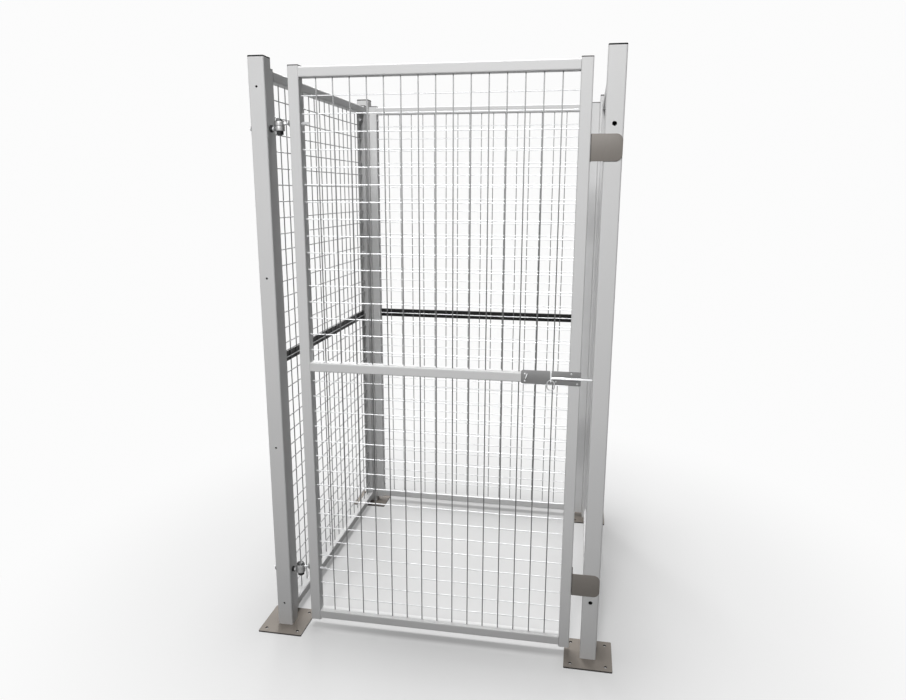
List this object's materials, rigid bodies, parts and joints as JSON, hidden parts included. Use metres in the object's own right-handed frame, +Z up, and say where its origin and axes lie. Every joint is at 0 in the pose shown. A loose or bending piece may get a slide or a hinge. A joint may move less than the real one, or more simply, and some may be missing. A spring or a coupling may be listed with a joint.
{
  "type": "wire mesh partition with door",
  "caption": "Square wire mesh cage on four floor-bolted posts, with fixed framed mesh panels on its sides and back and a hinged mesh door with a sliding bolt on its front.",
  "frame": {"origin": "middle of the floor plan, at floor level", "axes": "+Z up; the door is on the -Y side, hinged on the -X post; +X towards the latch post"},
  "size_m": [1.392, 1.392, 2.184],
  "materials": {
    "post_paint": "smooth light grey powder coat",
    "frame_paint": "smooth light grey powder coat",
    "mesh_wire": "light grey coated wire",
    "bare_plate": "dull brown-grey plain steel",
    "black_cap": "black",
    "black_bar": "glossy black",
    "stile_cap": "dull brown-grey",
    "latch_grey": "satin dark grey",
    "bright_zinc": "bright zinc plate",
    "black_steel": "black oxide",
    "hinge_steel": "plain steel"
  },
  "bodies": {
    "cage": {"front_left_post": "post_paint", "front_right_post": "post_paint", "back_left_post": "post_paint", "back_right_post": "post_paint", "front_left_base_plate": "bare_plate", "front_right_base_plate": "bare_plate", "back_left_base_plate": "bare_plate", "back_right_base_plate": "bare_plate", "post_caps": "black_cap", "left_panel_front_stile": "frame_paint", "left_panel_back_stile": "frame_paint", "left_panel_top_rail": "frame_paint", "left_panel_bottom_rail": "frame_paint", "left_panel_middle_bar": "black_bar", "left_panel_upright_wires": "mesh_wire", "left_panel_cross_wires": "mesh_wire", "left_panel_stile_caps": "stile_cap", "left_panel_bolts": "bright_zinc", "back_panel_left_stile": "frame_paint", "back_panel_right_stile": "frame_paint", "back_panel_top_rail": "frame_paint", "back_panel_bottom_rail": "frame_paint", "back_panel_middle_bar": "black_bar", "back_panel_upright_wires": "mesh_wire", "back_panel_cross_wires": "mesh_wire", "back_panel_stile_caps": "stile_cap", "back_panel_bolts": "bright_zinc", "right_panel_front_stile": "frame_paint", "right_panel_back_stile": "frame_paint", "right_panel_top_rail": "frame_paint", "right_panel_bottom_rail": "frame_paint", "right_panel_middle_bar": "black_bar", "right_panel_upright_wires": "mesh_wire", "right_panel_cross_wires": "mesh_wire", "right_panel_stile_caps": "stile_cap", "right_panel_bolts": "bright_zinc", "upper_hinge_post_eye": "hinge_steel", "lower_hinge_post_eye": "hinge_steel", "hinge_pins": "hinge_steel", "hinge_post_nuts": "hinge_steel", "hinge_pin_nuts": "black_steel"},
    "door": {"door_hinge_stile": "frame_paint", "door_latch_stile": "frame_paint", "door_top_rail": "frame_paint", "door_middle_rail": "frame_paint", "door_bottom_rail": "frame_paint", "door_upright_wires": "mesh_wire", "door_cross_wires": "mesh_wire", "door_stile_caps": "stile_cap", "upper_stop_plate": "bare_plate", "lower_stop_plate": "bare_plate", "latch_plate": "latch_grey", "latch_screws": "bright_zinc", "latch_sleeve": "bright_zinc", "latch_lug": "bright_zinc", "upper_hinge_door_eye": "hinge_steel", "lower_hinge_door_eye": "hinge_steel", "hinge_door_nuts": "hinge_steel"},
    "sliding_bolt": {"latch_bolt": "bright_zinc"},
    "bolt_ring": {"latch_ring": "bright_zinc"}
  },
  "joints": [
    {"name": "door_swing", "type": "hinge", "parent": "cage", "child": "door", "pos_m": [-0.541, -0.606, 1.092], "axis": [0, 0, -1], "range_deg": [0, 110]},
    {"name": "bolt_slide", "type": "slide", "parent": "door", "child": "sliding_bolt", "axis": [1, 0, 0], "range_m": [-0.04, 0.008]},
    {"name": "ring_swing", "type": "hinge", "parent": "sliding_bolt", "child": "bolt_ring", "pos_m": [0.4321, -0.6303, 1.0855], "axis": [-1, 0, 0], "range_deg": [0, 80]}
  ]
}
